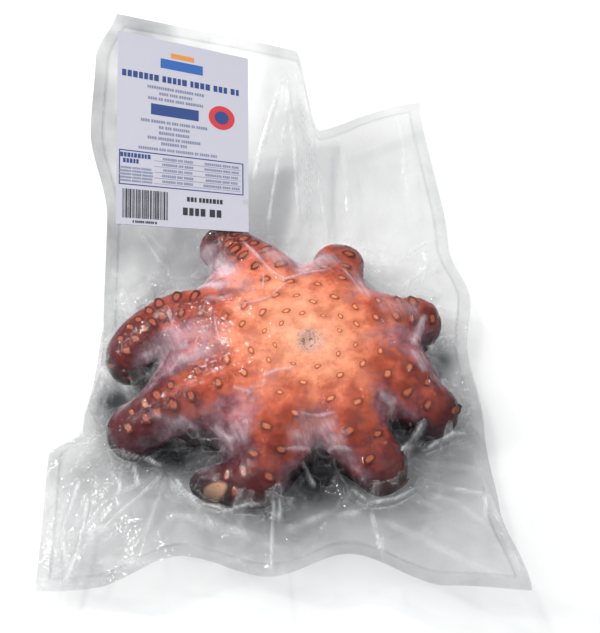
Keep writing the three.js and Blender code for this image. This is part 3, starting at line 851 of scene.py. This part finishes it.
# Crease lines of the crumpled film whiten, partly stress-whitening and partly painted glint, and random
# facets whiten as painted glints.
crease = add_node(film, "MapRange", {"From": (0.05, 0.0), "To": (0, 0.25), "Value": facet_edges})
facet_glint_white = add_node(film, "MapRange", {
    "From": (0.62, 0.95), "To": (0, 0.55), "Value": facet_draw.outputs["Color"],
})
crease_and_glint_white = add_node(film, "Math", {"operation": "ADD", 0: crease, 1: facet_glint_white})
crease_here = add_node(film, "Math", {"operation": "MULTIPLY", 0: crease_and_glint_white, 1: pattern})
creased_white_and_glint = add_node(film, "Math", {"operation": "MULTIPLY", 0: crease_here, 1: crumple_at})
folded = add_node(film, "Math", {"operation": "MULTIPLY_ADD", 0: fold_at, 1: streaky, 2: haze})
whiteness_and_glint = add_node(film, "Math", {"operation": "ADD", "use_clamp": True, 0: folded, 1: creased_white_and_glint})
film_look = add_node(film, "MixShader", {0: whiteness_and_glint, 1: clear, 2: milk})
add_node(film, "OutputMaterial", {"Surface": film_look})
wrap = finish_piece("pouch_wrap", wrap_mesh, film)
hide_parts("vacuum_pack")

# ---------- pouch: the sealed flaps round the octopus ----------
# The same two films beyond the food: they meet at mid height, lie down on the near side and stand up
# on the far left, where the label stiffens them. Each layer is a fine grid laid along the seam's
# surface, creased where vacuum gathered it, and drawn up or down to the food where it reaches it.
SEAM_HEIGHT = 13
POUCH = {"near": -178, "far": 290, "left": -166, "right": 94}
# The pouch's edges in plan: x at places along y at the left and right, y at places along x at the near end.
EDGE_LEFT = [
    (-178, -181), (-76, -182), (-52, -160), (0, -153), (110, -151), (172, -165), (225, -163), (270, -148)
]
EDGE_RIGHT = [(-178, 144), (-113, 129), (-49, 124), (20, 117), (65, 122), (111, 108), (260, 93)]
EDGE_NEAR = [(-182, -172), (-140, -174), (-85, -153), (-26, -168), (25, -151), (90, -174), (149, -178)]
FLAP = {"rise": 119, "fall": 0.82, "flat_rise": 9, "root": 40, "bend": 0.8}
FAR_EDGE = {"left": 265, "middle": 272, "fold": 228, "right": 260}
STEP_WIDTH = 20  # over which the raised left part drops to the flat right one, at x = 0
RIPPLE = {"height": 1.7, "x": 21, "y": 17, "slant": 40}
TAUT = (60, 100)  # y over which the raised flap's ripples are pulled flat
NEAR_FLAP = {"rise": 14, "from": 70, "to": 172, "corner": -182, "inside": -110}
GRID = {"columns": 216, "rows": 280}
LAYER_GAP = 0.35  # from the seam's middle surface to each film
FILLET = {"meets": 13, "reach": 9}  # height over the seam at the food, and how far it takes to fade
SEAL = {"inside": 9, "line": 0.8, "edge": 0.3}  # the weld's inner line and the clear film beyond it
HIDDEN = 4  # how deep in the food the flaps' film ends
LABEL_MARGIN = 6  # over which folds die away towards the label
LOWER_RISE = 0.8  # how much the lower film's folds rise, as a share of the upper one's
# How grey the film is, region by region: painted shade where the food and the raised flap stand over it and
# in the gaps beside the arms, painted reflection elsewhere, and the seal's own grey.
GREY_AND_SHADE = {
    "far_left": 0.34, "far": 0.05, "at_food": 0.3, "near": 0.14, "right": 0.06, "raised": 0.12, "gap": 0.9,
    "seal": 0.16,
}
FLAP_HAZE = {"all": 0.02, "seal": 0.16, "step": 0.25}
FLAP_CRUMPLE = {"at_food": 0.9, "away": 0.12, "far": 0.06}
FLAP_FOLD_WHITE_AND_GLINT = 0.6
# How a fold's whiteness comes and goes along it.
BROKEN = {"apart": 13, "mean": 0.7, "swing": 1.3, "limits": (0.1, 1.2)}
LABEL = {"width": 102, "height": 152, "x": -96, "y": 180, "turn": 1}


def past_step(x):
    return smoothstep(x, -STEP_WIDTH / 2, STEP_WIDTH / 2)


def far_edge(x):
    left = lerp(FAR_EDGE["left"], FAR_EDGE["middle"], smoothstep(x, POUCH["left"], 0))
    right = lerp(FAR_EDGE["fold"], FAR_EDGE["right"], smoothstep(x, 0, POUCH["right"]))
    return lerp(left, right, past_step(x))


def flap_height(x, y):
    """Height of the middle of the two films at plan points."""
    raised = 1 - past_step(x)
    share = (np.maximum(0, y - FLAP["root"]) / (POUCH["far"] - FLAP["root"])) ** FLAP["bend"]
    across = (x - POUCH["left"]) / (POUCH["right"] - POUCH["left"])
    lift = share * lerp(FLAP["flat_rise"], FLAP["rise"] * (1 - FLAP["fall"] * across), raised)
    loose = 1 - smoothstep(y, *TAUT) * raised
    wave = 1 + np.sin(x / RIPPLE["x"] + y / RIPPLE["slant"]) * np.sin(y / RIPPLE["y"])
    near = smoothstep(-y, NEAR_FLAP["from"], NEAR_FLAP["to"])
    near *= NEAR_FLAP["rise"] * smoothstep(x, NEAR_FLAP["corner"], NEAR_FLAP["inside"])
    return SEAM_HEIGHT + RIPPLE["height"] * wave * loose + lift + near


# Folds that show: down the raised flap and its step, out from where the arms pull on the near flap, at the
# right of the far arms, and the two strips of film that span from arm to arm at the left and the right.
# Their white is partly stress-whitening and partly painted glint.
FLAP_FOLDS = [
    (3, 2.5, 1.2, 1.4, (-18, 252), (-36, 178), (-52, 111)),
    (1.6, 2, 1, 1, (-12, 245), (-22, 180), (-32, 108)),
    (1.2, 2, 0.7, 1, (4, 225), (9, 170), (16, 112)),
    (3, 2, 1.2, 1.4, (-18, 252), (-10, 182), (-6, 108)),
    (1.5, 2.5, 0.6, 3, (-4, 240), (-2, 180), (2, 112)),
    (1, 3, 0.35, 2, (27, 224), (30, 188), (33, 130)),
    (1, 3, 0.45, 1.2, (73, 250), (77, 219), (80, 147)),
    (2, 2, 0.7, 0.9, (-147, 124), (-126, 102), (-114, 86), (-97, 67)),
    (1.2, 2, 0.5, 1.4, (-136, 122), (-118, 100), (-104, 88)),
    (2.5, 1.5, 1.6, 1, (-158, -88), (-162, -108), (-167, -130)),
    (2, 1.5, 1.4, 0.9, (-152, -101), (-152, -119), (-155, -147)),
    (1.5, 1.5, 1.4, 1.6, (-155, -143), (-158, -157), (-162, -168)),
    (1.5, 2.5, 0.7, 1.4, (-164, -110), (-166, -134), (-160, -162)),
    (1.2, 2.5, 0.6, 1.2, (-167, -130), (-149, -131), (-135, -125)),
    (3, 1.6, 1, 0.9, (-98, -80), (-105, -90), (-118, -106), (-141, -132)),
    (1.6, 3, 0.4, 2, (-98, -80), (-116, -92), (-140, -108), (-158, -140)),
    (1.2, 1.2, 1.8, 0.9, (-138, -82), (-130, -94), (-131, -104)),
    (1, 1.2, 1.6, 1, (-122, -80), (-117, -95)),
    (2, 3, 0.4, 1.6, (-98, -82), (-103, -107), (-109, -137), (-112, -160)),
    (2.2, 1.6, 1, 1, (-98, -84), (-94, -96), (-71, -117), (-60, -140)),
    (2.4, 1.4, 1.3, 1, (-98, -82), (-86, -101), (-71, -113), (-53, -117), (-31, -115), (-24, -106)),
    (1.8, 1.6, 1.2, 1, (-98, -82), (-112, -76), (-130, -76)),
    (3, 1.6, 1.1, 1, (-24, -104), (-25, -138), (-25, -168)),
    (1.6, 1.4, 0.8, 0.9, (-19, -102), (-21, -134)),
    (2, 1.6, 1.3, 1.2, (-10, -76), (-2, -85), (5, -98)),
    (2.2, 1.4, 1.3, 1.1, (27, -99), (41, -113), (59, -109), (80, -97)),
    (1.8, 1.4, 1.2, 0.9, (76, -92), (96, -97), (121, -102), (119, -126)),
    (1.6, 2.4, 0.4, 1.5, (78, -102), (100, -108), (126, -134)),
    (2, 2.2, 0.5, 1.4, (41, -115), (47, -140), (50, -158)),
    (1.6, 1.6, 1, 1, (78, -70), (102, -56), (118, -54)),
    (1.2, 4, 0.35, 3, (40, -122), (68, -135), (115, -164), (140, -173)),
    (1.2, 5, 0.3, 3, (-154, -151), (-121, -157), (-69, -160), (-24, -151)),
    (1.2, 5, 0.4, 3, (-24, -134), (12, -120), (40, -118)),
    (1.2, 5, 0.4, 3, (-106, -118), (-81, -122), (-45, -134), (-27, -138)),
    (1, 2, 0.5, 1.6, (114, -56), (122, -99), (132, -139), (140, -173)),
    (7, 3, 1, 2.6, (88, -38), (79, -54), (72, -63), (65, -76), (62, -87)),
    (2.5, 1.8, 0.9, 1.3, (66, 92), (80, 108), (94, 118)),
    (2.5, 1.8, 0.9, 1.3, (69, 71), (89, 91), (107, 109)),
    (2, 1.6, 0.8, 0.9, (70, 102), (89, 93), (102, 84)),
    (1.6, 1.4, 0.7, 0.9, (84, 72), (92, 96), (88, 112)),
    (10, 4, 1.3, 3.2, (-152, -2), (-144, -13), (-134, -20), (-122, -27)),
    (8, 3.5, 1.3, 3, (86, 10), (98, 22), (112, 27)),
]
# Where the film leaves a deep shaded gap beside an arm: plan point, then how far the shade spreads.
SHADED_GAPS = [(-137, -29, 9), (98, 8, 8), (-95, -65, 13), (74, -58, 8), (5, -88, 12)]
FOLDS_PER_ARM, FAR_STREAKS, CRINKLES = 7, 14, 40
FAN_FROM = 0.66  # share of the way down an arm from which its folds fan out
SHARES = (0, 0.33, 0.67, 1)  # of a made fold's length, where its points lie
shuffle = random.Random(11)


def ray_fold(x, y, heading, length, rise, white):
    """A fold that starts at a plan point and runs off at a heading, a little bowed."""
    bow = shuffle.uniform(-0.12, 0.12) * length
    out = np.array((math.cos(math.radians(heading)), math.sin(math.radians(heading))))
    aside = np.array((-out[1], out[0]))
    start = np.array((x, y))
    through = [start + share * length * out + bow * 4 * share * (1 - share) * aside for share in SHARES]
    return (rise, shuffle.uniform(1.2, 4.0), white, shuffle.uniform(0.7, 2.4), *through)


def made_folds():
    """Folds that fan out from each arm's tip, streaks down the far flap and crinkles all over."""
    made = []
    for arm in ARMS:
        tip = arm_frames(arm, CENTRE_STEPS)[int(FAN_FROM * CENTRE_STEPS)]["centre"]
        for _ in range(FOLDS_PER_ARM):
            heading = arm["end"] + shuffle.uniform(-75, 75)
            looks = [shuffle.uniform(*ends) for ends in ((25, 80), (0.5, 2.2), (0, 0.4))]
            made.append(ray_fold(tip.x, tip.y, heading, *looks))
    for ranges in (
        FAR_STREAKS * [((4, POUCH["right"]), (75, 150), (84, 96), (60, 120), (0.2, 0.6), (0, 0.1))]
        + CRINKLES * [((-175, 140), (-160, 100), (0, 360), (8, 35), (0.3, 1.0), (0, 0.2))]
    ):
        made.append(ray_fold(*[shuffle.uniform(*ends) for ends in ranges]))
    return made


def on_label(x, y):
    """How far inside the label's outline a plan point is, in mm, less than 0 outside it."""
    turn = math.radians(-LABEL["turn"])
    a = (x - LABEL["x"]) * math.cos(turn) - (y - LABEL["y"]) * math.sin(turn)
    b = (x - LABEL["x"]) * math.sin(turn) + (y - LABEL["y"]) * math.cos(turn)
    return np.minimum(LABEL["width"] / 2 - np.abs(a), LABEL["height"] / 2 - np.abs(b))


all_folds = FLAP_FOLDS + made_folds()


def film_layer(name, way):
    """One film of the flaps: way is 1 for the upper film and -1 for the lower one."""
    bm = bmesh.new()
    bmesh.ops.create_grid(bm, x_segments=GRID["columns"], y_segments=GRID["rows"], size=0.5)
    mesh = mesh_from(bm, name)
    points = points_of(mesh)
    across, along = points[:, 0] + 0.5, points[:, 1] + 0.5
    guess = lerp(POUCH["near"], far_edge(lerp(POUCH["left"], POUCH["right"], across)), along)
    x = lerp(eased(EDGE_LEFT, guess), eased(EDGE_RIGHT, guess), across)
    y = lerp(eased(EDGE_NEAR, x), far_edge(x), along)
    middle = flap_height(x, y)
    plan = np.column_stack([x, y])
    rise, white = folds(plan, all_folds)
    bare = smoothstep(-on_label(x, y), 0, LABEL_MARGIN)
    broken = np.array([noise.noise(Vector((a, b, 0)) / BROKEN["apart"]) for a, b in plan])
    broken = np.clip(BROKEN["mean"] + BROKEN["swing"] * broken, *BROKEN["limits"])
    rise, white = rise * bare, white * bare * broken
    depth, steep = np.empty(len(x)), np.empty(len(x))
    for i, (px, py, pz) in enumerate(zip(x, y, middle)):
        spot = Vector((px, py, pz))
        near, facing, _, away = food_tree.find_nearest(spot)
        depth[i] = away if (spot - near).dot(facing) > 0 else -away
        steep[i] = facing.z
    outside = np.maximum(depth, 0)
    drawn = np.exp(-outside / FILLET["reach"])
    drawn *= smoothstep(0.9 - np.abs(steep), 0, 0.5)
    if way > 0:
        z = middle + LAYER_GAP + rise + FILLET["meets"] * drawn
    else:
        z = middle - LAYER_GAP + LOWER_RISE * rise - np.minimum(middle - 2, FILLET["meets"]) * drawn
    z = np.maximum(z, WRAP["floor"] + (0.3 if way > 0 else 0))
    set_points(mesh, np.column_stack([x, y, z]))
    beyond = past_step(x)
    # Painted shade and reflection grey the film: most at the food's foot and in the gaps beside the arms,
    # and beside the raised flap's step.
    far_grey_and_shade = lerp(GREY_AND_SHADE["far_left"], GREY_AND_SHADE["far"], smoothstep(x, -140, -45))
    near_grey_and_shade = lerp(GREY_AND_SHADE["at_food"], GREY_AND_SHADE["near"], smoothstep(outside, 0, 60))
    smoke = lerp(near_grey_and_shade, lerp(far_grey_and_shade, GREY_AND_SHADE["far"], beyond), smoothstep(y, 20, 90))
    smoke += GREY_AND_SHADE["raised"] * smoothstep(x, -45, -30) * (1 - beyond) * smoothstep(y, 150, 220)
    smoke = lerp(smoke, GREY_AND_SHADE["right"], smoothstep(x, 70, 110) * smoothstep(y, -40, 20))
    for gap_x, gap_y, spread in SHADED_GAPS:
        smoke += GREY_AND_SHADE["gap"] * np.exp(-(((x - gap_x) ** 2 + (y - gap_y) ** 2) / spread**2))
    rim = np.minimum(
        np.minimum(across, 1 - across) * (eased(EDGE_RIGHT, guess) - eased(EDGE_LEFT, guess)),
        np.minimum(along, 1 - along) * (far_edge(x) - eased(EDGE_NEAR, x)),
    )
    seal = np.exp(-(((rim - SEAL["inside"]) / SEAL["line"]) ** 2)) + SEAL["edge"] * (rim < SEAL["inside"])
    crumple = lerp(FLAP_CRUMPLE["at_food"], FLAP_CRUMPLE["away"], smoothstep(outside, 0, 34))
    crumple = lerp(crumple, FLAP_CRUMPLE["far"], smoothstep(y, 95, 125))
    wall = np.abs(np.gradient(middle.reshape(GRID["rows"] + 1, -1), axis=1)).ravel()
    set_attributes(
        mesh, fold=FLAP_FOLD_WHITE_AND_GLINT * white, over_food=np.zeros(len(x)), crumple=crumple,
        smoke=smoke + GREY_AND_SHADE["seal"] * seal,
        haze=FLAP_HAZE["all"] + FLAP_HAZE["seal"] * seal + FLAP_HAZE["step"] * smoothstep(wall, 1, 4),
    )
    bm = bmesh.new()
    bm.from_mesh(mesh)
    bm.verts.ensure_lookup_table()
    hidden = [vert for vert in bm.verts if depth[vert.index] < -HIDDEN]
    bmesh.ops.delete(bm, geom=hidden, context="VERTS")
    if way < 0:
        bmesh.ops.reverse_faces(bm, faces=bm.faces)
    bm.to_mesh(mesh)
    bm.free()
    layer = finish_piece(name, mesh, film)
    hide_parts("vacuum_pack")


film_layer("pouch_upper_film", 1)
film_layer("pouch_lower_film", -1)

# ---------- label ----------
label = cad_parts["label"]
# The paper is a darker grey-lilac than white paper: its grey is painted shade on the raised label.
label_paper = new_material("coated_label_paper")
shaded_label_face = add_node(label_paper, "BsdfPrincipled", {"Roughness": 0.45, "Base Color": tone("#BDBCC8")})
add_node(label_paper, "OutputMaterial", {"Surface": shaded_label_face})
label.data.materials.clear()
label.data.materials.append(label_paper)

# ---------- label: print ----------
# Plain printed fields stand in for the label's words and marks: bars for letters, a ruled table, a
# barcode, a disc for the seal. Each ink is a sheet of small patches laid 0.1 mm over the paper.
LABEL_TOP = 1.4  # the paper's face over the seam's surface
INK_LIFT = 0.12
PATCH = 5  # longest side of a patch, in mm
LETTER = {"width": 0.6, "gap": 0.2, "space": 0.55, "uneven": (0.7, 1.2)}  # as shares of its height


def share_in_plan(x, y):
    """How long the label is in plan as a share of its length, over the slope from -x, -y to x, y."""
    fall = flap_height(LABEL["x"] - x, LABEL["y"] - y) - flap_height(LABEL["x"] + x, LABEL["y"] + y)
    return math.cos(math.atan2(float(fall), 2 * (x + y)))


LABEL_ACROSS, LABEL_UP = share_in_plan(LABEL["width"] / 2, 0), share_in_plan(0, LABEL["height"] / 2)


def on_paper(a, b, lift):
    """The place of a point of the label, a mm right and b mm up from its middle."""
    turn = math.radians(LABEL["turn"])
    a, b = a * LABEL_ACROSS, b * LABEL_UP
    x = LABEL["x"] + a * math.cos(turn) - b * math.sin(turn)
    y = LABEL["y"] + a * math.sin(turn) + b * math.cos(turn)
    return Vector((x, y, float(flap_height(x, y)) + LABEL_TOP + lift))


def patch(bm, left, low, right, high, lift=INK_LIFT):
    """A printed rectangle, in patches small enough to follow the paper."""
    columns = math.ceil((right - left) / PATCH)
    rows = math.ceil((high - low) / PATCH)
    across = [lerp(left, right, i / columns) for i in range(columns + 1)]
    up = [lerp(low, high, j / rows) for j in range(rows + 1)]
    grid = [[bm.verts.new(on_paper(a, b, lift)) for a in across] for b in up]
    for j in range(rows):
        for i in range(columns):
            bm.faces.new((grid[j][i], grid[j][i + 1], grid[j + 1][i + 1], grid[j + 1][i]))


def disc(bm, a, b, radius, lift):
    turns = [k * math.pi / 16 for k in range(32)]
    rim = [on_paper(a + radius * math.cos(turn), b + radius * math.sin(turn), lift) for turn in turns]
    bm.faces.new([bm.verts.new(point) for point in rim])


def words(bm, middle, base, height, counts):
    """A centred line of plain bars, grouped like words with these numbers of letters."""
    draw = random.Random(sum(counts) + round(10 * base))
    wide = height * LETTER["width"]
    letters = [[wide * draw.uniform(*LETTER["uneven"]) for _ in range(count)] for count in counts]
    total = sum(sum(word) + (len(word) - 1) * LETTER["gap"] * height for word in letters)
    total += (len(letters) - 1) * LETTER["space"] * height
    at = middle - total / 2
    for word in letters:
        for width in word:
            patch(bm, at, base, at + width, base + height)
            at += width + LETTER["gap"] * height
        at += (LETTER["space"] - LETTER["gap"]) * height


inks = {name: bmesh.new() for name in ("navy", "blue", "amber", "red", "slate", "black")}
navy, blue, amber, red, slate, black = inks.values()
patch(amber, -10, 62, 8, 66)
patch(blue, -18, 52, 15, 60)
words(navy, -2, 40, 5.2, (7, 5, 4, 3, 2))
for base, counts in ((33.5, (12, 8, 4)), (28.8, (4, 4, 6)), (24.2, (4, 2, 4, 4, 8))):
    words(slate, -6, base, 2.3, counts)
patch(navy, -25, 12, 12, 21)
for base, counts in (
    (5.5, (4, 6, 2, 3, 5, 2, 5)), (1, (2, 3, 8)), (-3.5, (7, 6)), (-8, (4, 7, 2, 9)), (-12, (8, 3)),
):
    words(slate, -7, base, 2.3, counts)
words(slate, -4, -16.8, 2.1, (9, 3, 4, 9, 2, 5, 3))
disc(red, 30, 18, 10.2, INK_LIFT)
disc(navy, 30, 18, 5.6, 2 * INK_LIFT)

TABLE = {"left": -49, "right": 47, "low": -46, "high": -19, "rule": 0.8, "column": -22}
for low in (TABLE["high"] - TABLE["rule"], TABLE["low"]):
    patch(navy, TABLE["left"], low, TABLE["right"], low + TABLE["rule"])
for left in (TABLE["left"], TABLE["right"] - TABLE["rule"]):
    patch(navy, left, TABLE["low"], left + TABLE["rule"], TABLE["high"])
words(navy, -36.5, -24.5, 3.4, (9,))
words(navy, -40, -29, 3.4, (5,))
for row in range(5):
    words(slate, -36, -33.5 - 2.5 * row, 1.5, (8, 6, 7))
    words(slate, -4, -24 - 4.5 * row, 1.9, (8, 3, 5))
    words(slate, 30, -24 - 4.5 * row, 1.9, (9, 4, 4))
    patch(slate, TABLE["column"], -25.3 - 4.5 * row, TABLE["right"] - 2, -25 - 4.5 * row)

BARCODE = {"left": -46, "right": -12, "low": -71, "high": -49}
draw = random.Random(4)
at = BARCODE["left"]
while at < BARCODE["right"]:
    bar = draw.choice((0.4, 0.4, 0.8, 1.2))
    patch(black, at, BARCODE["low"], at + bar, BARCODE["high"])
    at += bar + draw.choice((0.4, 0.5, 0.9))
words(black, -29, -74.5, 1.8, (1, 5, 5, 1))
words(black, 17, -55, 3.6, (3, 7))
words(black, 15, -66, 6.0, (4, 2))

INK_TONES = {
    "navy": "#24407E", "blue": "#2A5FA8", "amber": "#D98A3A", "red": "#C8323A", "slate": "#7C84A0",
    "black": "#22242A",
}
for name, bm in inks.items():
    bmesh.ops.recalc_face_normals(bm, faces=bm.faces)
    for face in bm.faces:
        if face.normal.z < 0:
            face.normal_flip()
    mesh = mesh_from(bm, "label_ink_" + name)
    ink = new_material(name + "_printing_ink")
    dried = add_node(ink, "BsdfPrincipled", {"Roughness": 0.4, "Base Color": tone(INK_TONES[name])})
    add_node(ink, "OutputMaterial", {"Surface": dried})
    finish_piece("label_ink_" + name, mesh, ink)

low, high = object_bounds()
